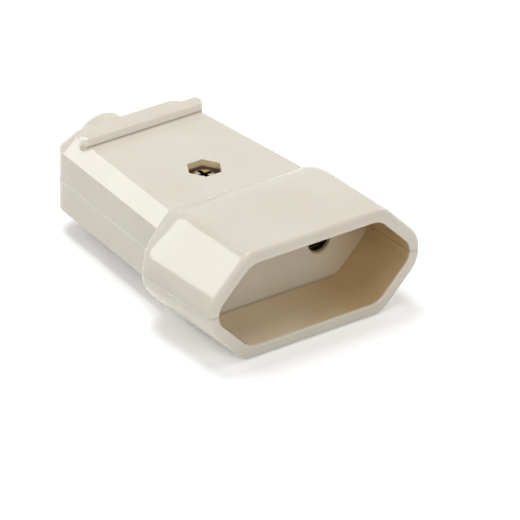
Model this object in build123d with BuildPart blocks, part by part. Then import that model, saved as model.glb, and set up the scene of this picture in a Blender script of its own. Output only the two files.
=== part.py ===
"""Two-pole in-line socket: two moulded half shells, a flat recess for the plug and the brass contacts inside.

Millimetres, +Z up. The origin is at the middle of the underside. The plug enters from -Y, the cord from +Y.
"""

import os
from math import radians, tan

from build123d import *

os.makedirs("parts", exist_ok=True)

# Collar round the plug recess: a flat hexagon with 45 degree bevels.
collar_height = 18.8
collar_flat = 26.8
collar_length = 15.0
collar_wall = 2.15
collar_side_radius = 5.0
collar_side_flat = 0.25
collar_corner_radius = 3.2
collar_edge_radius = 0.75
recess_corner_radius = 3.8
recess_side_radius = 3.0
recess_depth = 11.2
rim_inner_radius = 0.35

# Skirt where the collar runs down to the body: a long round-over, fuller at the sides.
skirt_length = 6.2
skirt_top_power = 2
skirt_side_power = 4
skirt_sections = 6

# Body behind the collar, narrower towards the cord. Its front is as wide as the contacts and the room beside them.
body_height = 15.1
body_contact_room = 6.65
body_rear_width = 25.3
body_end = 53.8
body_corner_radius = 4.5
body_bevel = 2.4
body_edge_radius = 0.2

# Grip rib across the body and the round cord boss.
rib_width = 2.1
rib_length = 23.4
rib_start = 45.6
rib_edge_radius = 0.6
boss_radius = 5.35
boss_length = 4.7
boss_edge_radius = 1.5
cord_radius = 3.3

# Walls inside.
back_wall = 2.0
side_wall = 2.0
top_wall = 2.0
rear_wall = 2.2
cavity_corner_radius = 1.2
seam_bevel = 0.12

# Case screw and nut.
well_radius = 3.0
well_depth = 3.0
screw_place = 29.6
screw_head_radius = 2.45
screw_head_height = 1.9
screw_radius = 1.25
screw_length = 12.0
cross_arm = 0.75
screw_clearance = 0.15
nut_flats = 5.0
nut_height = 2.0
thread_clearance = 0.04
pillar_radius = 4.2
barrier_thickness = 1.6

# Contacts.
pin_spacing = 18.6
pin_hole_radius = 2.2
pin_hole_bevel = 0.3
sleeve_bore_radius = 2.0
sleeve_sheet = 0.6
sleeve_length = 14.4
sleeve_slit = 0.7
sleeve_slit_length = 11.0
tongue_width = 4.2
tongue_overlap = 1.0
spring_sheet = 0.4
spring_length = 4.0
spring_slit = 1.4
spring_place = 5.6
contact_clearance = 0.05
cradle_thickness = 1.5
cradle_front = 1.6
cradle_rear = 11.2

# Terminals.
block_gap = 3.4
block_width = 4.8
block_length = 7.6
block_edge = 0.3
bed_inset = 0.4
bed_thickness = 1.0
wire_window_radius = 1.75
wire_hole_radius = 1.3
wire_hole_rise = 0.4
terminal_screw_radius = 1.25
terminal_screw_head_radius = 2.1
terminal_screw_head_height = 1.5
terminal_screw_slot = 0.6
rivet_radius = 0.8
rivet_head_radius = 1.5
rivet_head_height = 0.6
rivet_depth = 0.8

# Cord clamp.
clamp_place = 43.0
clamp_width = 5.0
clamp_span = 19.0
clamp_foot_height = 2.2
clamp_bed_width = 3.0
clamp_foot_drop = 1.0
clamp_bore_radius = 3.1
clamp_arch_wall = 1.7
clamp_screw_inset = 2.3
clamp_screw_radius = 1.1
clamp_screw_head_radius = 2.0
clamp_screw_head_height = 1.5
clamp_screw_depth = 3.6
clamp_pillar_radius = 2.3

# Locating pegs between the shells.
peg_radius = 0.65
peg_height = 1.5
peg_clearance = 0.1
peg_front_spacing = 8.4
peg_rear_spacing = 18.6
peg_rear_place = 49.7
peg_boss_radius = 1.5

# Places that follow from the sizes.
overall_length = body_end + boss_length
front = -overall_length / 2
middle = collar_height / 2
body_half = body_height / 2
body_front_width = pin_spacing + 2 * body_contact_room
step = middle - body_half
cavity_half = body_half - top_wall
cavity_start = front + recess_depth + back_wall
cavity_end = front + body_end - rear_wall
taper_run = body_end - recess_depth - back_wall
side_slope = (body_front_width - body_rear_width) / 2 / taper_run
pin_x = pin_spacing / 2
sleeve_radius = sleeve_bore_radius + sleeve_sheet
screw_y = front + screw_place
well_floor = body_half - well_depth
recess_half = middle - collar_wall
recess_half_flat = collar_flat / 2 - collar_wall * tan(radians(22.5))
sleeve_end = cavity_start + sleeve_length
block_start = sleeve_end + block_gap
block_end = block_start + block_length
block_middle = (block_start + block_end) / 2
clamp_start = front + clamp_place
clamp_middle = clamp_start + clamp_width / 2
stop_start = block_end + contact_clearance
stop_end = stop_start + bed_thickness
clamp_screw_x = clamp_span / 2 - clamp_screw_inset
webs = (
    (cavity_start + cradle_front, cradle_thickness),
    (cavity_start + cradle_rear, cradle_thickness),
    (block_start + bed_inset, bed_thickness),
    (block_end - bed_inset - bed_thickness, bed_thickness),
    (stop_start, bed_thickness),
)


def across(y):
    """Upright plane across the socket at y, on the parting line, x to the right and y upwards."""
    return Plane(origin=(0, y, middle), x_dir=(1, 0, 0), z_dir=(0, -1, 0))


def level(z):
    """Level plane at z above the parting line."""
    return Plane.XY.offset(middle + z)


def body_half_width(y):
    """Half the body's outer width at y."""
    return body_front_width / 2 - side_slope * (y - cavity_start)


def flat_hexagon(half_height, half_flat):
    """Corner points of the hexagon with 45 degree bevels."""
    side = half_flat + half_height
    return [
        (side, 0),
        (half_flat, half_height),
        (-half_flat, half_height),
        (-side, 0),
        (-half_flat, -half_height),
        (half_flat, -half_height),
    ]


# Collar and body, each as the two corners of its outline's top right quarter and their radii.
collar_side = collar_side_radius * tan(radians(22.5)) + collar_side_flat
collar_corners = [Vector(collar_flat / 2, middle), Vector(collar_flat / 2 + middle - collar_side, collar_side)]
collar_radii = [collar_corner_radius, collar_side_radius]
skirt_end = front + collar_length + skirt_length
body_corners = [
    Vector(body_half_width(skirt_end) - body_bevel, body_half),
    Vector(body_half_width(skirt_end), body_half - body_bevel),
]
body_radii = [body_edge_radius, body_edge_radius]


def outline(*shares):
    """Outline between the body's (0) and the collar's (1), with one share for the top corners and one for the side."""
    top, side = [b + (c - b) * s for b, c, s in zip(body_corners, collar_corners, shares)]
    top_radius, side_radius = [b + (c - b) * s for b, c, s in zip(body_radii, collar_radii, shares)]
    with BuildLine() as edge:
        FilletPolyline(
            (top.X, top.Y),
            (side.X, side.Y),
            (side.X, -side.Y),
            (top.X, -top.Y),
            (-top.X, -top.Y),
            (-side.X, -side.Y),
            (-side.X, side.Y),
            (-top.X, top.Y),
            radius=2 * [top_radius, side_radius, side_radius, top_radius],
            close=True,
        )
    make_face(edge.edges())


with BuildSketch(across(front)) as recess_outline:
    with BuildLine():
        Polyline(*flat_hexagon(recess_half, recess_half_flat), close=True)
    make_face()
    fillet(recess_outline.vertices().filter_by_position(Axis.Y, 1, middle), radius=recess_corner_radius)
    fillet(recess_outline.vertices().filter_by_position(Axis.Y, -middle, -1), radius=recess_corner_radius)
    fillet(recess_outline.vertices().filter_by_position(Axis.Y, -0.01, 0.01), radius=recess_side_radius)

# Body block: a taper in plan with rounded rear corners, and one bevel that runs along the sides and round the rear.
with BuildPart() as body_block:
    with BuildSketch(level(0)) as body_plan:
        with BuildLine():
            Polyline(
                (-body_front_width / 2, cavity_start),
                (-body_rear_width / 2, front + body_end),
                (body_rear_width / 2, front + body_end),
                (body_front_width / 2, cavity_start),
                close=True,
            )
        make_face()
        fillet(body_plan.vertices().group_by(Axis.Y)[-1], radius=body_corner_radius)
    extrude(amount=body_half, both=True)
    level_edges = body_block.faces().filter_by(Axis.Z).edges()
    chamfer(level_edges - level_edges.group_by(Axis.Y)[0], length=body_bevel)

# Grip rib: its ends hang a little over the bevels.
with BuildPart() as grip_rib:
    with BuildSketch(level(body_half - body_bevel / 2)):
        with Locations((0, front + rib_start + rib_width / 2)):
            RectangleRounded(rib_length, rib_width, rib_width * 0.4)
    extrude(amount=body_bevel / 2 + step)
    fillet(grip_rib.faces().sort_by(Axis.Z)[-1].edges(), radius=rib_edge_radius)

# Outer form of both halves in one, with the plug recess.
with BuildPart() as outer_form:
    with BuildSketch(across(front)):
        outline(1, 1)
    extrude(amount=-collar_length)
    for i in range(skirt_sections + 1):
        u = i / skirt_sections
        with BuildSketch(across(front + collar_length + skirt_length * u)):
            outline(1 - u**skirt_top_power, 1 - u**skirt_side_power)
    loft()
    fillet(outer_form.faces().sort_by(Axis.Y)[0].edges(), radius=collar_edge_radius)
    add(body_block.part)
    add(grip_rib.part)
    with BuildSketch(across(cavity_end)):
        Circle(boss_radius)
    extrude(amount=-(front + overall_length - cavity_end))
    fillet(outer_form.edges().group_by(Axis.Y)[-1], radius=boss_edge_radius)
    extrude(recess_outline.sketch, amount=-recess_depth, mode=Mode.SUBTRACT)
    fillet(outer_form.faces().sort_by(Axis.Y)[0].inner_wires()[0].edges(), radius=rim_inner_radius)

# Each half's outer edge on the parting plane is broken by a small bevel, which shows as the seam.
with BuildPart() as upper_form:
    add(outer_form.part)
    split(bisect_by=level(0), keep=Keep.TOP)
    chamfer(upper_form.faces().sort_by(Axis.Z)[0].edges(), length=seam_bevel)
with BuildPart() as lower_form:
    add(outer_form.part)
    split(bisect_by=level(0), keep=Keep.BOTTOM)
    chamfer(lower_form.faces().sort_by(Axis.Z)[-1].edges(), length=seam_bevel)

# Hollows that both halves share, as one body.
with BuildPart() as hollows:
    # Room behind the back wall.
    with BuildSketch(level(0)) as cavity_plan:
        with BuildLine():
            Polyline(
                (-body_half_width(cavity_start) + side_wall, cavity_start),
                (-body_half_width(cavity_end) + side_wall, cavity_end),
                (body_half_width(cavity_end) - side_wall, cavity_end),
                (body_half_width(cavity_start) - side_wall, cavity_start),
                close=True,
            )
        make_face()
        fillet(cavity_plan.vertices(), radius=cavity_corner_radius)
    extrude(amount=cavity_half, both=True)

    # Pillar round the case screw and the barrier between the contacts.
    with BuildSketch(level(0)):
        with Locations((0, screw_y)):
            Circle(pillar_radius)
        with Locations((0, (cavity_start + stop_end) / 2)):
            Rectangle(barrier_thickness, stop_end - cavity_start)
    extrude(amount=cavity_half, both=True, mode=Mode.SUBTRACT)

    # Webs from side to side that carry the contacts.
    for web_start, web_thickness in webs:
        with BuildSketch(across(web_start)):
            Rectangle(2 * body_half_width(web_start) - side_wall, 2 * cavity_half)
        extrude(amount=-web_thickness, mode=Mode.SUBTRACT)

    # Windows in the webs: round for the sleeves, square for the terminal blocks, round for the wires.
    with BuildSketch(across(cavity_start)):
        with Locations((-pin_x, 0), (pin_x, 0)):
            Circle(sleeve_radius + contact_clearance)
    extrude(amount=-sleeve_length)
    with BuildSketch(across(block_start - contact_clearance)):
        with Locations((-pin_x, 0), (pin_x, 0)):
            Rectangle(block_width + 2 * contact_clearance, 2 * (sleeve_radius + contact_clearance))
    extrude(amount=-(block_length + 2 * contact_clearance))
    with BuildSketch(across(stop_start)):
        with Locations((-pin_x, 0), (pin_x, 0)):
            Circle(wire_window_radius)
    extrude(amount=-bed_thickness)

    # Pin holes with a bevelled mouth.
    with BuildSketch(across(front + recess_depth)):
        with Locations((-pin_x, 0), (pin_x, 0)):
            Circle(pin_hole_radius + pin_hole_bevel)
    extrude(amount=-pin_hole_bevel, taper=45)
    with BuildSketch(across(front + recess_depth)):
        with Locations((-pin_x, 0), (pin_x, 0)):
            Circle(pin_hole_radius)
    extrude(amount=-back_wall)

    # Cord bore through the rear wall and the boss.
    with BuildSketch(across(cavity_end)):
        Circle(cord_radius)
    extrude(amount=-(front + overall_length - cavity_end))

    # Hexagonal wells in both faces, with points to the sides, and the screw's way between them.
    with BuildSketch(level(well_floor)):
        with Locations((0, screw_y)):
            RegularPolygon(well_radius, 6)
    extrude(amount=well_depth)
    with BuildSketch(level(-well_floor)):
        with Locations((0, screw_y)):
            RegularPolygon(well_radius, 6)
    extrude(amount=-well_depth)
    with BuildSketch(level(0)):
        with Locations((0, screw_y)):
            Circle(screw_radius + screw_clearance)
    extrude(amount=well_floor, both=True)

peg_spots = [
    (-peg_front_spacing / 2, front + recess_depth + back_wall / 2),
    (peg_front_spacing / 2, front + recess_depth + back_wall / 2),
    (-peg_rear_spacing / 2, front + peg_rear_place),
    (peg_rear_spacing / 2, front + peg_rear_place),
]

with BuildPart() as upper_shell:
    add(upper_form.part)
    add(hollows.part, mode=Mode.SUBTRACT)
    # Peg sockets, the rear ones in small corner bosses.
    with BuildSketch(level(0)):
        with Locations(*peg_spots[2:]):
            Circle(peg_boss_radius)
    extrude(amount=cavity_half)
    with BuildSketch(level(0)):
        with Locations(*peg_spots):
            Circle(peg_radius + peg_clearance)
    extrude(amount=peg_height + peg_clearance, mode=Mode.SUBTRACT)

with BuildPart() as lower_shell:
    add(lower_form.part)
    add(hollows.part, mode=Mode.SUBTRACT)
    # Pegs that line the halves up.
    with BuildSketch(level(-cavity_half)):
        with Locations(*peg_spots[2:]):
            Circle(peg_boss_radius)
    extrude(amount=cavity_half)
    with BuildSketch(level(-peg_height)):
        with Locations(*peg_spots):
            Circle(peg_radius)
    extrude(amount=2 * peg_height)
    # Pillars for the clamp screws and the bed under the cord.
    with BuildSketch(level(-cavity_half)):
        with Locations((-clamp_screw_x, clamp_middle), (clamp_screw_x, clamp_middle)):
            Circle(clamp_pillar_radius)
        with Locations((0, clamp_middle)):
            Rectangle(2 * clamp_screw_x, clamp_bed_width)
    extrude(amount=cavity_half - clamp_foot_drop)
    with BuildSketch(across(clamp_start)):
        Circle(clamp_bore_radius)
    extrude(amount=-clamp_width, mode=Mode.SUBTRACT)
    with BuildSketch(level(-clamp_foot_drop)):
        with Locations((-clamp_screw_x, clamp_middle), (clamp_screw_x, clamp_middle)):
            Circle(clamp_screw_radius + thread_clearance)
    extrude(amount=-(clamp_screw_depth + thread_clearance), mode=Mode.SUBTRACT)

# Case screw: pan head with a cross recess.
with BuildPart() as case_screw:
    with BuildSketch(level(well_floor)):
        with Locations((0, screw_y)):
            Circle(screw_head_radius)
    extrude(amount=screw_head_height)
    fillet(case_screw.edges().sort_by(Axis.Z)[-1], radius=screw_head_height * 0.4)
    with BuildSketch(level(well_floor + screw_head_height)):
        with Locations((0, screw_y)):
            Rectangle(screw_head_radius * 1.25, cross_arm)
            Rectangle(cross_arm, screw_head_radius * 1.25)
    extrude(amount=-screw_head_height * 0.6, taper=8, mode=Mode.SUBTRACT)
    with BuildSketch(level(well_floor)):
        with Locations((0, screw_y)):
            Circle(screw_radius)
    extrude(amount=-screw_length)
    chamfer(case_screw.edges().sort_by(Axis.Z)[0], length=screw_radius * 0.25)

# Case nut, in the lower shell's well, with its points to the sides like the well's.
with BuildPart() as case_nut:
    with BuildSketch(level(-well_floor)):
        with Locations((0, screw_y)):
            RegularPolygon(nut_flats / 2, 6, major_radius=False)
            Circle(screw_radius + thread_clearance, mode=Mode.SUBTRACT)
    extrude(amount=-nut_height)

# Contact sleeve: rolled sheet, open along two slits, with a flat tongue behind.
with BuildPart() as contact_sleeve_right:
    with BuildSketch(across(cavity_start)):
        with Locations((pin_x, 0)):
            Circle(sleeve_radius)
    extrude(amount=-sleeve_length)
    with BuildSketch(level(-sleeve_radius)):
        with Locations((pin_x, (sleeve_end - tongue_overlap + block_end) / 2)):
            Rectangle(tongue_width, block_end - sleeve_end + tongue_overlap)
    extrude(amount=sleeve_sheet)
    with BuildSketch(across(cavity_start)):
        with Locations((pin_x, 0)):
            Circle(sleeve_bore_radius)
    extrude(amount=-sleeve_length, mode=Mode.SUBTRACT)
    with BuildSketch(level(0)):
        with Locations((pin_x, cavity_start + sleeve_slit_length / 2)):
            Rectangle(2 * sleeve_radius + 1, sleeve_slit_length)
    extrude(amount=sleeve_slit / 2, both=True, mode=Mode.SUBTRACT)
    with BuildSketch(level(-sleeve_radius)):
        with Locations((pin_x, block_middle)):
            Circle(rivet_radius + thread_clearance)
    extrude(amount=sleeve_sheet, mode=Mode.SUBTRACT)

# Contact spring: an open ring round the sleeve.
with BuildPart() as contact_spring_right:
    with BuildSketch(across(cavity_start + spring_place)):
        with Locations((pin_x, 0)):
            Circle(sleeve_radius + contact_clearance + spring_sheet)
            Circle(sleeve_radius + contact_clearance, mode=Mode.SUBTRACT)
        with Locations((pin_x, sleeve_radius)):
            Rectangle(spring_slit, 2 * sleeve_radius, mode=Mode.SUBTRACT)
    extrude(amount=-spring_length)

# Terminal block: square brass bar on the tongue, bored for the wire from behind and tapped from above.
with BuildPart() as terminal_block_right:
    with BuildSketch(across(block_start)):
        with Locations((pin_x, (sleeve_radius - sleeve_bore_radius) / 2)):
            Rectangle(block_width, sleeve_radius + sleeve_bore_radius)
    extrude(amount=-block_length)
    chamfer(terminal_block_right.edges().filter_by(Axis.Y), length=block_edge)
    with BuildSketch(across(block_start)):
        with Locations((pin_x, wire_hole_rise)):
            Circle(wire_hole_radius)
    extrude(amount=-block_length, mode=Mode.SUBTRACT)
    with BuildSketch(level(wire_hole_rise)):
        with Locations((pin_x, block_middle)):
            Circle(terminal_screw_radius + thread_clearance)
    extrude(amount=sleeve_radius - wire_hole_rise, mode=Mode.SUBTRACT)
    with BuildSketch(level(-sleeve_bore_radius)):
        with Locations((pin_x, block_middle)):
            Circle(rivet_radius + thread_clearance)
    extrude(amount=rivet_depth + thread_clearance, mode=Mode.SUBTRACT)

# Terminal screw: cheese head with a slot, its tip in the wire hole.
with BuildPart() as terminal_screw_right:
    with BuildSketch(level(sleeve_radius)):
        with Locations((pin_x, block_middle)):
            Circle(terminal_screw_head_radius)
    extrude(amount=terminal_screw_head_height)
    with BuildSketch(level(sleeve_radius + terminal_screw_head_height / 2)):
        with Locations((pin_x, block_middle)):
            Rectangle(3 * terminal_screw_head_radius, terminal_screw_slot)
    extrude(amount=terminal_screw_head_height, mode=Mode.SUBTRACT)
    with BuildSketch(level(sleeve_radius)):
        with Locations((pin_x, block_middle)):
            Circle(terminal_screw_radius)
    extrude(amount=-(sleeve_radius - wire_hole_rise))

# Rivet from below, through the tongue into the block.
with BuildPart() as contact_rivet_right:
    with BuildSketch(level(-sleeve_radius - rivet_head_height)):
        with Locations((pin_x, block_middle)):
            Circle(rivet_head_radius)
    extrude(amount=rivet_head_height)
    fillet(contact_rivet_right.edges().sort_by(Axis.Z)[0], radius=rivet_head_height * 0.6)
    with BuildSketch(level(-sleeve_radius)):
        with Locations((pin_x, block_middle)):
            Circle(rivet_radius)
    extrude(amount=sleeve_sheet + rivet_depth)

# Cord clamp: a bar arched over the cord.
with BuildPart() as cord_clamp:
    with BuildSketch(across(clamp_start)):
        Circle(clamp_bore_radius + clamp_arch_wall)
        with Locations((0, -clamp_bore_radius - clamp_arch_wall - clamp_foot_drop)):
            Rectangle(3 * clamp_span, 2 * (clamp_bore_radius + clamp_arch_wall), mode=Mode.SUBTRACT)
        with Locations((0, clamp_foot_height / 2 - clamp_foot_drop)):
            Rectangle(clamp_span, clamp_foot_height)
        Circle(clamp_bore_radius, mode=Mode.SUBTRACT)
    extrude(amount=-clamp_width)
    with BuildSketch(level(-clamp_foot_drop)):
        with Locations((-clamp_screw_x, clamp_middle), (clamp_screw_x, clamp_middle)):
            Circle(clamp_screw_radius + screw_clearance)
    extrude(amount=clamp_foot_height, mode=Mode.SUBTRACT)

# Clamp screw: pan head with a slot.
with BuildPart() as clamp_screw_right:
    with BuildSketch(level(clamp_foot_height - clamp_foot_drop)):
        with Locations((clamp_screw_x, clamp_middle)):
            Circle(clamp_screw_head_radius)
    extrude(amount=clamp_screw_head_height)
    fillet(clamp_screw_right.edges().sort_by(Axis.Z)[-1], radius=clamp_screw_head_height * 0.4)
    with BuildSketch(level(clamp_foot_height - clamp_foot_drop + clamp_screw_head_height / 2)):
        with Locations((clamp_screw_x, clamp_middle)):
            Rectangle(3 * clamp_screw_head_radius, terminal_screw_slot)
    extrude(amount=clamp_screw_head_height, mode=Mode.SUBTRACT)
    with BuildSketch(level(clamp_foot_height - clamp_foot_drop)):
        with Locations((clamp_screw_x, clamp_middle)):
            Circle(clamp_screw_radius)
    extrude(amount=-(clamp_foot_height + clamp_screw_depth))

# The left contact, terminal and clamp screw mirror the right ones.
with BuildPart() as contact_sleeve_left:
    add(mirror(contact_sleeve_right.part, about=Plane.YZ))
with BuildPart() as contact_spring_left:
    add(mirror(contact_spring_right.part, about=Plane.YZ))
with BuildPart() as terminal_block_left:
    add(mirror(terminal_block_right.part, about=Plane.YZ))
with BuildPart() as terminal_screw_left:
    add(mirror(terminal_screw_right.part, about=Plane.YZ))
with BuildPart() as contact_rivet_left:
    add(mirror(contact_rivet_right.part, about=Plane.YZ))
with BuildPart() as clamp_screw_left:
    add(mirror(clamp_screw_right.part, about=Plane.YZ))

pieces = {
    "upper_shell": upper_shell,
    "lower_shell": lower_shell,
    "case_screw": case_screw,
    "case_nut": case_nut,
    "contact_sleeve_left": contact_sleeve_left,
    "contact_sleeve_right": contact_sleeve_right,
    "contact_spring_left": contact_spring_left,
    "contact_spring_right": contact_spring_right,
    "terminal_block_left": terminal_block_left,
    "terminal_block_right": terminal_block_right,
    "terminal_screw_left": terminal_screw_left,
    "terminal_screw_right": terminal_screw_right,
    "contact_rivet_left": contact_rivet_left,
    "contact_rivet_right": contact_rivet_right,
    "cord_clamp": cord_clamp,
    "clamp_screw_left": clamp_screw_left,
    "clamp_screw_right": clamp_screw_right,
}
for name, piece in pieces.items():
    piece.part.label = name
    export_step(piece.part, f"parts/{name}.step")
    print(name, round(piece.part.volume, 1), piece.part.bounding_box().size)
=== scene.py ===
# %% [markdown]
# # An ivory in-line socket
# The socket is two glossy ivory mouldings held by one screw. The plug goes into the hexagonal recess in front, and
# brass contacts wait behind its two pin holes. The shapes could be modelled here again, but then they might differ
# from the CAD solids. So every shape comes from the solids, and this script gives them their finishes, the screws
# their threads, and the whole a pale studio.

from math import cos, pi, radians, sin

import bpy
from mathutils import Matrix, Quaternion, Vector


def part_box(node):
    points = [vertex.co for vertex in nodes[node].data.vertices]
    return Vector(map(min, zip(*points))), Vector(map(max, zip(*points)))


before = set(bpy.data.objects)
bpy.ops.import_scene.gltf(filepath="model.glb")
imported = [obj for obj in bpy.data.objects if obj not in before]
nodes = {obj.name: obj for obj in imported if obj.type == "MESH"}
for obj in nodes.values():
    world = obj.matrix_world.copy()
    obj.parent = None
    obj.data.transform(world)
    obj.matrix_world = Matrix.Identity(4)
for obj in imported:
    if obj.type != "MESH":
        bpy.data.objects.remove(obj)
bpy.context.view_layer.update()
MM = 0.001

# %% [markdown]
# ## Places on the socket
# The finishes need to know where the parting line, the front, the pin holes and the case screw are. These places
# could be typed in, but then a finish would slip when a solid changes. So they are read from the nodes' own boxes.
# Walls inside a node, such as the recess's, are measured from there in millimetres, in the cells that use them.

# %% Read the places
shell_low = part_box("upper_shell")[0]
screw_low, screw_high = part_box("case_screw")
sleeve_low, sleeve_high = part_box("contact_sleeve_right")
parting = shell_low[2]
front = shell_low[1]
screw_x = (screw_low[0] + screw_high[0]) / 2
screw_y = (screw_low[1] + screw_high[1]) / 2
pin_x = (sleeve_low[0] + sleeve_high[0]) / 2
print("parting line", parting, "front", front, "pins at", pin_x, "screw at", screw_x, screw_y)

# %% [markdown]
# ## Sums with sockets
# A finish chooses its colour by many small sums, such as how far a spot lies from the screw. Each Math node could be
# wired by hand, but that hides the sum. So a small class wraps an output socket, and Python's own operators add the
# nodes. A sum such as `1.0 - mask` has the number first, which needs the reflected forms as well.


# %% A wire
class Wire:
    """An output socket of a finish. Sums with it add Math nodes."""

    def __init__(self, finish, socket):
        self.finish = finish
        self.socket = socket

    def math(self, operation, *values):
        return self.finish.node("ShaderNodeMath", {"operation": operation}, dict(enumerate(values)))

    def __add__(self, other):
        return self.math("ADD", self, other)

    def __radd__(self, other):
        return self.math("ADD", other, self)

    def __sub__(self, other):
        return self.math("SUBTRACT", self, other)

    def __rsub__(self, other):
        return self.math("SUBTRACT", other, self)

    def __mul__(self, other):
        return self.math("MULTIPLY", self, other)

    def __rmul__(self, other):
        return self.math("MULTIPLY", other, self)

    def __abs__(self):
        return self.math("ABSOLUTE", self)

    def larger(self, other):
        return self.math("MAXIMUM", self, other)

    def step(self, low, high):
        """0 below low, 1 above high and a smooth rise between them. With low above high it falls instead."""
        turned = low > high
        ends = {"From Min": min(low, high), "From Max": max(low, high)}
        ends["To Min"] = 1.0 if turned else 0.0
        ends["To Max"] = 0.0 if turned else 1.0
        settings = {"interpolation_type": "SMOOTHSTEP"}
        return self.finish.node("ShaderNodeMapRange", settings, {"Value": self, **ends})


print("sums ready")

# %% [markdown]
# ## The nodes of a finish
# Every other node is added in the same three moves: choose the type, make its settings, fill its sockets. Written out
# each time, these moves would fill most of the script. So one method does them for any node, and the few kinds that
# the socket's finishes share, such as noise, mixes and bumps, get a short name each.


# %% A finish
class Finish:
    """The nodes of one material, or of the world, round the shader that they feed."""

    def __init__(self, owner, shader):
        owner.use_nodes = True
        self.owner = owner
        self.tree = owner.node_tree
        self.shader = self.tree.nodes[shader]

    def node(self, kind, settings=None, inputs=None, output=0):
        """Adds a node, makes its settings, then fills its sockets with values or links."""
        made = self.tree.nodes.new(kind)
        for name, value in (settings or {}).items():
            setattr(made, name, value)
        for name, value in (inputs or {}).items():
            self.feed(made.inputs[name], value)
        return Wire(self, made.outputs[output])

    def feed(self, socket, value):
        if isinstance(value, Wire):
            self.tree.links.new(value.socket, socket)
        else:
            socket.default_value = value

    def set(self, **sockets):
        """Fills the shader's sockets, named with underscores for spaces."""
        for name, value in sockets.items():
            self.feed(self.shader.inputs[name.replace("_", " ")], value)

    def place(self):
        """The surface's place in metres, as one vector and as x, y and z."""
        here = self.node("ShaderNodeTexCoord", output="Object")
        split = self.node("ShaderNodeSeparateXYZ", inputs={"Vector": here})
        axes = [Wire(self, split.socket.node.outputs[axis]) for axis in "XYZ"]
        return here, *axes

    def reach(self, x, y):
        """Distance from an axis, for x and y measured from that axis."""
        flat = self.node("ShaderNodeCombineXYZ", inputs={"X": x, "Y": y})
        return self.node("ShaderNodeVectorMath", {"operation": "LENGTH"}, {0: flat}, output="Value")

    def noise(self, here, scale, detail=2.0, roughness=0.5, distortion=0.0):
        """Cloudy noise from 0 to 1, mean 0.5, with scale cells to the metre."""
        inputs = {"Vector": here, "Scale": scale, "Detail": detail, "Roughness": roughness, "Distortion": distortion}
        return self.node("ShaderNodeTexNoise", inputs=inputs)

    def mix(self, share, first, second):
        """Colour mix of first and second, by share."""
        return self.node("ShaderNodeMix", {"data_type": "RGBA"}, {"Factor": share, 6: first, 7: second}, output=2)

    def bump(self, height, distance, strength=1.0, normal=None):
        inputs = {"Height": height, "Distance": distance, "Strength": strength}
        if normal is not None:
            inputs["Normal"] = normal
        return self.node("ShaderNodeBump", inputs=inputs)


print("finishes ready")

# %% [markdown]
# ## Who wears a finish
# Each CAD node comes with a plain material in its slots. A finished copy could be laid over the node, but then the
# piece would be there twice. So the finish goes into the slots of the node itself, and several nodes may share it.


# %% New finishes and their nodes
def new_finish(name):
    """An empty finish, a material with a Principled shader."""
    return Finish(bpy.data.materials.new(name), "Principled BSDF")


def dress(finish, *names):
    """Gives the named CAD nodes the finish."""
    for name in names:
        for slot in nodes[name].material_slots:
            slot.material = finish.owner
    print(finish.owner.name, "on", ", ".join(names))


print("slots to fill", sum(len(node.material_slots) for node in nodes.values()))

# %% [markdown]
# ## Ivory moulding
# The shells are thick plastic, pressed in a polished mould. One colour with an even gloss would be the quickest way,
# and it would look like a computer's plastic. A real moulding is glossy but never even. So the finish has a slow
# change of tint, a few specks, and smudges in the gloss where fingers have been. All of it is noise that runs through
# the solid, so it needs no flat map and shows no seams.

# %% Ivory: tint and gloss
ivory = new_finish("ivory_plastic")
here, x, y, z = ivory.place()
pale = (0.660, 0.620, 0.527, 1.0)
deep = (0.645, 0.598, 0.500, 1.0)
fleck = (0.45, 0.38, 0.27, 1.0)
clouds = ivory.noise(here, scale=90.0, detail=3.0)
specks = ivory.noise(here, scale=1500.0, detail=1.0).step(0.74, 0.80)
smudges = ivory.noise(here, scale=260.0, detail=5.0, roughness=0.62, distortion=0.4)
colour = ivory.mix(clouds.step(0.35, 0.65), pale, deep)
colour = ivory.mix(specks * 0.2, colour, fleck)
gloss = 0.08 + 0.09 * smudges
print("ivory from", pale, "to", deep)

# %% [markdown]
# ## Warm light in the recess
# In the real recess light bounces from ivory to ivory and some of it comes through the walls. So the inside is the
# colour of honey, and brown on the right, where the wall stands in front of the light. More bounces of light could
# make this, but they leave the inside far too grey. So this light is painted: the colour turns warmer by the place on
# the socket, little on the back wall, more on the floor and most on the right. A thin line of painted shade lies in
# the corner at the back. The masks end inside the walls, so the collar's outer side and the socket's back stay clean.

# %% Ivory: inside the recess
recess_depth = 11.2 * MM
recess_rise = 7.25 * MM
recess_bevel = 19.76 * MM
recess_reach = 19.3 * MM
depth = y - front
rise = abs(z - parting)
in_depth = depth.step(0.1 * MM, 0.6 * MM) * depth.step(recess_depth + 0.4 * MM, recess_depth + 0.1 * MM)
in_height = rise.step(recess_rise + 1.2 * MM, recess_rise + 0.8 * MM)
in_width = abs(x).step(recess_reach + 0.5 * MM, recess_reach)
in_bevels = (abs(x) + rise).step(recess_bevel + 1.6 * MM, recess_bevel + 1.2 * MM)
in_recess = in_depth * in_height * in_width * in_bevels
at_back = depth.step(recess_depth - 0.2 * MM, recess_depth - 0.1 * MM)
in_corner = depth.step(recess_depth - 0.6 * MM, recess_depth) * rise.step(recess_rise - 0.5 * MM, recess_rise)
print("recess", recess_depth, "deep and", 2 * recess_rise, "high")

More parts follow.
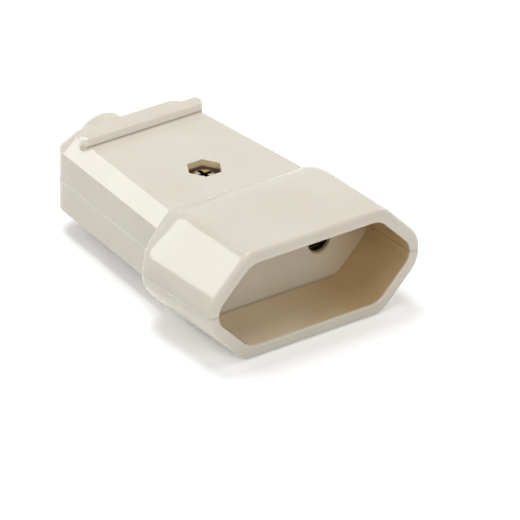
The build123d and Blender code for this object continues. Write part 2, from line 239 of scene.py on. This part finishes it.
# %% Ivory: the recess's honey and brown
painted_honey = (0.80, 0.62, 0.38, 1.0)
painted_brown = (0.56, 0.40, 0.21, 1.0)
shade = (0.24, 0.17, 0.09, 1.0)
to_right = x.step(-8 * MM, 14 * MM)
on_walls = 0.55 + 0.42 * to_right
on_back = 0.08 + 0.50 * x.step(6 * MM, 17 * MM)
painted_warmth = in_recess * (on_walls + at_back * (on_back - on_walls))
# painted light from bounces and through the walls: honey on the left, darker brown on the right
colour = ivory.mix(painted_warmth, colour, ivory.mix(to_right, painted_honey, painted_brown))
# painted shade in the corner at the back
colour = ivory.mix(in_recess * in_corner * 0.35, colour, shade)
print("recess from", painted_honey, "to", painted_brown)

# %% [markdown]
# ## The screw's well
# The case screw sits at the bottom of a hexagonal well. On the real socket the well's walls glow like ochre and its
# foot lies in deep shade. A lamp could be aimed at it, but that lamp would light the top as well. So the glow and the
# shade are painted: the walls get painted light from just below the rim, and painted shade from the height of the
# screw's head down.

# %% Ivory: inside the well
body_rise = 7.55 * MM
well_reach = 3.1 * MM
head_rise = screw_high[2] - parting
painted_ochre = (0.84, 0.66, 0.37, 1.0)
in_well = ivory.reach(x - screw_x, y - screw_y).step(well_reach + 0.1 * MM, well_reach)
in_well = in_well * rise.step(body_rise - 0.05 * MM, body_rise - 0.6 * MM)
at_foot = in_well * rise.step(head_rise + 0.15 * MM, head_rise - 0.15 * MM)
# painted glow on the well's walls
colour = ivory.mix(in_well * 0.8, colour, painted_ochre)
# painted shade at the well's foot
colour = ivory.mix(at_foot, colour, shade)
print("well from", body_rise, "down to the head at", head_rise)

# %% [markdown]
# ## The pin holes
# Each pin hole has a bevelled edge that shows as a brown ring in the hole's shade, and behind it the hole is black. So
# little light comes out of such a hole that a few noisy grains would be all to see of it. So the ring and the black
# behind it are painted shade, set by the depth from the front and the distance from the pin's axis. The black ends
# with the wall round the hole, because the same axis passes through the socket's back face.

# %% Ivory: inside the pin holes
hole_reach = 2.4 * MM
ring_depth = recess_depth + 0.75 * MM
hole_depth = recess_depth + 3.8 * MM
painted_ring_shade = (0.36, 0.29, 0.18, 1.0)
dark = (0.020, 0.021, 0.016, 1.0)
in_hole = ivory.reach(abs(x) - pin_x, rise).step(hole_reach + 0.1 * MM, hole_reach)
in_hole = in_hole * depth.step(recess_depth, recess_depth + 0.2 * MM)
in_hole = in_hole * depth.step(hole_depth + 0.2 * MM, hole_depth)
past_ring = in_hole * depth.step(ring_depth, ring_depth + 0.15 * MM)
# painted shade: a brown ring on the hole's bevel
colour = ivory.mix(in_hole * 0.7, colour, painted_ring_shade)
# painted shade: black deeper in the hole
colour = ivory.mix(past_ring, colour, dark)
print("pin holes at", pin_x, "dark from", ring_depth, "to", hole_depth)

# %% [markdown]
# ## Painted light and shade on the rib
# The grip rib is thin, so light passes through it, and its upright flank is paler than the top beside it. Where it
# stands on the body there is a thin line of warm shade, and light through its ends turns them warm as well. The glow
# below the surface is the same in the whole moulding, so it can't make one thin wall paler. So this light and shade
# are painted, with masks of the rib's own, by the height above the body and the distance from the rib's middle.

# %% Ivory: on the rib
rib_depth = 46.65 * MM
rib_half = 1.15 * MM
rib_reach = 11.2 * MM
rib_height = 1.85 * MM
glow = (0.95, 0.88, 0.77, 1.0)
painted_foot_shade = (0.30, 0.16, 0.06, 1.0)
height = rise - body_rise
from_rib = abs(depth - rib_depth)
behind_collar = depth.step(30 * MM, 31 * MM)
on_flank = behind_collar * height.step(0.1 * MM, 0.25 * MM) * height.step(rib_height, rib_height - 0.5 * MM)
at_rib_foot = from_rib.step(rib_half + 0.2 * MM, rib_half) * abs(x).step(rib_reach + 0.2 * MM, rib_reach)
at_rib_foot = at_rib_foot * abs(height).step(0.25 * MM, 0.1 * MM)
on_rib_end = from_rib.step(rib_half + 0.45 * MM, rib_half + 0.25 * MM)
on_rib_end = on_rib_end * abs(x).step(rib_reach, rib_reach + 0.3 * MM)
on_rib_end = on_rib_end * height.step(0.9 * MM, 0.3 * MM) * height.step(-0.5 * MM, -0.2 * MM)
# painted glow on the rib's flank
colour = ivory.mix(on_flank, colour, glow)
# painted shade where the rib stands on the body
colour = ivory.mix(at_rib_foot * 0.25, colour, painted_foot_shade)
# painted glow at the rib's ends, over their shade
colour = ivory.mix(on_rib_end * 0.45, colour, painted_honey)
print("rib at", rib_depth, "from the front")

# %% [markdown]
# ## Relief and depth of the ivory
# The rib's flanks lean back a little, as a moulding's must to leave its mould, and so they catch the light from above.
# The solid's flanks are upright. They could be turned as geometry, but the shapes belong to the solids. So a bump that
# falls 0.8 mm with each millimetre of height turns their shading instead. The rest of the surface waves slowly where
# the plastic shrank, and has a very fine skin. Light goes a short way into ivory, red the farthest, which softens all
# its edges.

# %% Ivory: relief, and light below the surface
lean = 0.8
wave = ivory.noise(here, scale=130.0, detail=1.0)
skin = ivory.noise(here, scale=5200.0)
relief = ivory.bump(height.larger(0.0) * behind_collar * (-lean / MM), 1 * MM)
relief = ivory.bump(wave, 0.06 * MM, normal=relief)
relief = ivory.bump(skin, 0.002 * MM, strength=0.6, normal=relief)
ivory.set(Base_Color=colour, Roughness=gloss, Normal=relief, IOR=1.5)
ivory.set(Subsurface_Weight=0.35, Subsurface_Scale=1.5 * MM, Subsurface_Radius=(1.0, 0.55, 0.25))
dress(ivory, "upper_shell", "lower_shell")

# %% [markdown]
# ## Metals
# The contacts are rolled brass sheet, the terminals sawn brass bar, the springs bright strip, and the screws and the
# nut plated steel gone a little yellow. Four plain colours would be enough to name them, but they would all look
# cast. What tells real ones apart is the direction and the depth of their marks. So one function makes any of them:
# noise drawn out along one axis for the marks, and a thin tarnish in patches.


# %% Metal finishes
def metal(name, colour, tarnish, stretch, depth, rough):
    """A metal with marks drawn out along one axis and a thin uneven tarnish. Returns its parts for further steps."""
    finish = new_finish(name)
    here, x, y, z = finish.place()
    drawn = finish.node("ShaderNodeVectorMath", {"operation": "MULTIPLY"}, {0: here, 1: stretch})
    marks = finish.noise(drawn, scale=1.0, detail=4.0, roughness=0.7)
    patches = finish.noise(here, scale=420.0, detail=4.0).step(0.45, 0.75)
    tint = finish.mix(patches * 0.6, colour, tarnish)
    relief = finish.bump(marks, depth)
    finish.set(Base_Color=tint, Metallic=1.0, Roughness=rough + 0.18 * marks + 0.10 * patches, Normal=relief)
    return finish, x, y, z, tint, relief


along_y = (2600.0, 240.0, 2600.0)
along_z = (2600.0, 2600.0, 260.0)
sawn = (0.76, 0.58, 0.29, 1.0)
old_sawn = (0.50, 0.35, 0.16, 1.0)
strip = (0.56, 0.56, 0.55, 1.0)
old_strip = (0.36, 0.34, 0.32, 1.0)
plate = (0.56, 0.46, 0.30, 1.0)
old_plate = (0.30, 0.21, 0.11, 1.0)
terminal_brass = metal("terminal_brass", sawn, old_sawn, along_z, depth=0.005 * MM, rough=0.28)[0]
spring_steel = metal("spring_steel", strip, old_strip, along_y, depth=0.002 * MM, rough=0.18)[0]
plated_nut = metal("plated_nut", plate, old_plate, along_z, depth=0.003 * MM, rough=0.26)[0]
dress(terminal_brass, "terminal_block_left", "terminal_block_right", "contact_rivet_left", "contact_rivet_right")
dress(spring_steel, "contact_spring_left", "contact_spring_right")
dress(plated_nut, "case_nut")

# %% [markdown]
# ## Sleeves
# The contact sleeves are the brass that the pins slide into. Their mouths can just be seen through the pin holes, and
# a bright brass there would shine out of a hole that is black on the real socket. The sleeves could be darker as a
# whole, but outside they are as bright as any contact. So only their bores get painted shade, by the distance from
# the axis.

# %% Sleeve finish
rolled = (0.80, 0.60, 0.28, 1.0)
old_rolled = (0.52, 0.34, 0.14, 1.0)
bore_shade = (0.05, 0.04, 0.025, 1.0)
bore_reach = 2.1 * MM
sleeve_parts = metal("contact_brass", rolled, old_rolled, along_y, depth=0.003 * MM, rough=0.22)
contact_brass, x, _, z, tint, _ = sleeve_parts
in_bore = contact_brass.reach(abs(x) - pin_x, z - parting).step(bore_reach + 0.1 * MM, bore_reach)
# painted shade inside the bores
contact_brass.set(Base_Color=contact_brass.mix(in_bore * 0.9, tint, bore_shade))
dress(contact_brass, "contact_sleeve_left", "contact_sleeve_right")

# %% [markdown]
# ## Threads and recesses
# A real screw has a thread, and shade in its driver's recess and round its head. The solids' shanks are plain, so that
# pieces with no thread of their own fit them. A thread could be cut as geometry, but nothing shows it in the closed
# socket. So it is a bump: a ridge that climbs one pitch in each turn, made of the angle round the axis plus the
# height, taken round and round. The shade is painted, a dark mask below the head's face and towards its edge.


# %% Screw finishes
def screw_finish(name, head_height, shank_radius, pitch):
    """Plated steel with a thread on the shank, and painted shade in the head's recess and round its edge."""
    low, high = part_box(name)
    top = high[2]
    neck = top - head_height
    head_radius = (high[0] - low[0]) / 2
    head_shade_black = (0.03, 0.02, 0.012, 1.0)
    finish, x, y, z, tint, relief = metal("plated_" + name, plate, old_plate, along_z, depth=0.003 * MM, rough=0.20)
    across = x - (low[0] + high[0]) / 2
    along = y - (low[1] + high[1]) / 2
    reach = finish.reach(across, along)
    climb = across.math("ARCTAN2", along, across) * (0.5 / pi) + z * (1 / pitch)
    ridge = abs(climb.math("FRACT", climb) * 2.0 - 1.0)
    on_shank = reach.step(shank_radius + 0.1 * MM, shank_radius + 0.05 * MM) * z.step(neck, neck - 0.1 * MM)
    in_recess = reach.step(0.72 * head_radius, 0.68 * head_radius) * z.step(top - 0.06 * MM, top - 0.25 * MM)
    at_edge = reach.step(0.56 * head_radius, 0.72 * head_radius)
    # painted shade in the head's recess and round its edge
    head_shade = (in_recess * (1.0 - on_shank)).larger(at_edge * 0.9) * 0.92
    finish.set(Base_Color=finish.mix(head_shade, tint, head_shade_black))
    finish.set(Normal=finish.bump(ridge * on_shank, 0.25 * pitch, normal=relief))
    dress(finish, name)


screw_finish("case_screw", head_height=1.9 * MM, shank_radius=1.25 * MM, pitch=0.45 * MM)
for side in ("left", "right"):
    screw_finish("terminal_screw_" + side, head_height=1.5 * MM, shank_radius=1.25 * MM, pitch=0.45 * MM)
    screw_finish("clamp_screw_" + side, head_height=1.5 * MM, shank_radius=1.1 * MM, pitch=0.8 * MM)

# %% [markdown]
# ## Cord clamp
# The clamp is a bar that holds the cord inside the socket. It could share the shells' ivory, but it comes from a mould
# that nobody polished. So it has a finish of its own, matt and with a coarse grain.

# %% Clamp finish
bar_pale = (0.66, 0.62, 0.52, 1.0)
bar_deep = (0.60, 0.55, 0.45, 1.0)
clamp_plastic = new_finish("clamp_plastic")
here = clamp_plastic.place()[0]
grain = clamp_plastic.noise(here, scale=2400.0, detail=3.0)
clamp_plastic.set(Base_Color=clamp_plastic.mix(grain, bar_pale, bar_deep), Roughness=0.55 + 0.15 * grain)
clamp_plastic.set(Normal=clamp_plastic.bump(grain, 0.012 * MM))
dress(clamp_plastic, "cord_clamp")

# %% [markdown]
# ## Floor and background
# The socket lies on white paper that shows its soft shadow and nothing else. More light could bleach the paper, but
# the ivory would bleach with it. So the paper is lit like the socket, and what it lacks to white is added only for
# rays that come from the camera, or by way of a mirror or glass. The background is white in the same way, while the
# light that it gives stays weak.


# %% Floor and sky
def seen_directly(finish):
    """1 for rays from the camera or by way of a mirror or glass, else 0."""
    camera = finish.node("ShaderNodeLightPath", output="Is Camera Ray")
    outputs = camera.socket.node.outputs
    glossy = Wire(finish, outputs["Is Glossy Ray"])
    through = Wire(finish, outputs["Is Transmission Ray"])
    return camera.larger(glossy).larger(through)


black = (0.0, 0.0, 0.0, 1.0)
white = (1.0, 1.0, 1.0, 1.0)
paper_white = (0.96, 0.96, 0.96, 1.0)
paper_lift = 0.18
paper = new_finish("white_paper")
paper.set(Base_Color=paper_white, Roughness=0.9, Specular_IOR_Level=0.0)
paper.set(Emission_Color=paper.mix(seen_directly(paper), black, white), Emission_Strength=paper_lift)
bpy.ops.mesh.primitive_plane_add(size=6.0, location=(0, 0, -0.02 * MM))
floor = bpy.context.object
floor.name = "floor"
floor.data.materials.append(paper.owner)

bpy.context.scene.world = bpy.data.worlds.new("studio")
sky = Finish(bpy.context.scene.world, "Background")
sky_light = (0.13, 0.13, 0.13, 1.0)
sky.set(Color=sky.mix(seen_directly(sky), sky_light, white), Strength=1.0)
print("floor lift", paper_lift, "sky", sky_light)

# %% [markdown]
# ## Lamps
# Real photographs of such small goods are lit by large soft boxes. One large lamp would be the quickest, but it
# leaves either the bevels or the flank of the rib dull. So there are six, each for one thing that shows. A bright
# panel behind on the left is mirrored by the left bevels, which are nearly white. Two lamps overhead give most of the
# light, more from behind, so that the shadow falls short and to the front, and the rest from in front, for the rib's
# flank. A weak one on the right and a high wide one on the left open up the sides. The last one looks into the recess.


# %% Soft boxes
def softbox(name, towards, distance, size, radiance, colour=(1.0, 1.0, 1.0)):
    """A square lamp, distance metres away in the direction towards, that faces the socket."""
    lamp = bpy.data.lights.new(name, "AREA")
    lamp.size = size
    lamp.color = colour
    lamp.energy = radiance * pi * size**2
    holder = bpy.data.objects.new(name, lamp)
    bpy.context.collection.objects.link(holder)
    towards = Vector(towards).normalized()
    holder.location = towards * distance
    holder.rotation_mode = "QUATERNION"
    holder.rotation_quaternion = towards.to_track_quat("Z", "Y")
    print(name, "W", round(lamp.energy, 2))


cool_white = (0.92, 0.97, 1.0)
softbox("left_softbox", (-0.45, 0.74, 0.50), distance=0.9, size=0.33, radiance=4.2, colour=cool_white)
softbox("overhead_back", (0.02, 0.34, 1.0), distance=1.2, size=0.5, radiance=8.6)
softbox("overhead_front", (-0.04, -0.22, 1.0), distance=1.2, size=0.5, radiance=3.0)
softbox("right_softbox", (1.0, 0.10, 0.60), distance=1.1, size=0.5, radiance=3.2)
softbox("side_softbox", (-1.0, -0.15, 0.70), distance=1.3, size=0.75, radiance=1.65)
softbox("front_softbox", (-0.10, -0.85, 0.50), distance=1.5, size=0.8, radiance=3.1)

# %% [markdown]
# ## Camera
# The socket was photographed from the left and above, with a long lens: its far edges shrink very little. A camera
# set by eye would do for a pretty picture. This one was fitted to the socket's corners instead, in direction, roll,
# distance and lens, so that the render can be laid over the photograph.

# %% Camera
view_azimuth = radians(-37.2247)
view_elevation = radians(28.7018)
view_roll = radians(1.2515)
view_distance = 1.00866
aim = Vector((-0.002472, -0.017966, 0.0094))
aside = sin(view_azimuth) * cos(view_elevation)
forward = -cos(view_azimuth) * cos(view_elevation)
back = Vector((aside, forward, sin(view_elevation)))
camera_data = bpy.data.cameras.new("camera")
camera_data.lens = 447.01
camera_data.sensor_width = 36.0
camera_data.clip_end = 20.0
camera = bpy.data.objects.new("camera", camera_data)
bpy.context.collection.objects.link(camera)
camera.location = aim + back * view_distance
camera.rotation_mode = "QUATERNION"
camera.rotation_quaternion = back.to_track_quat("Z", "Y") @ Quaternion((0, 0, 1), view_roll)
bpy.context.scene.camera = camera
bpy.context.scene.view_settings.view_transform = "Standard"
print("camera", camera.location, "lens", camera_data.lens)

# %% [markdown]
# ## The end
# A finish must not make the socket bigger: the finishes only colour the solids and bend their shading.

# %% End
print("finishes and lamps set")
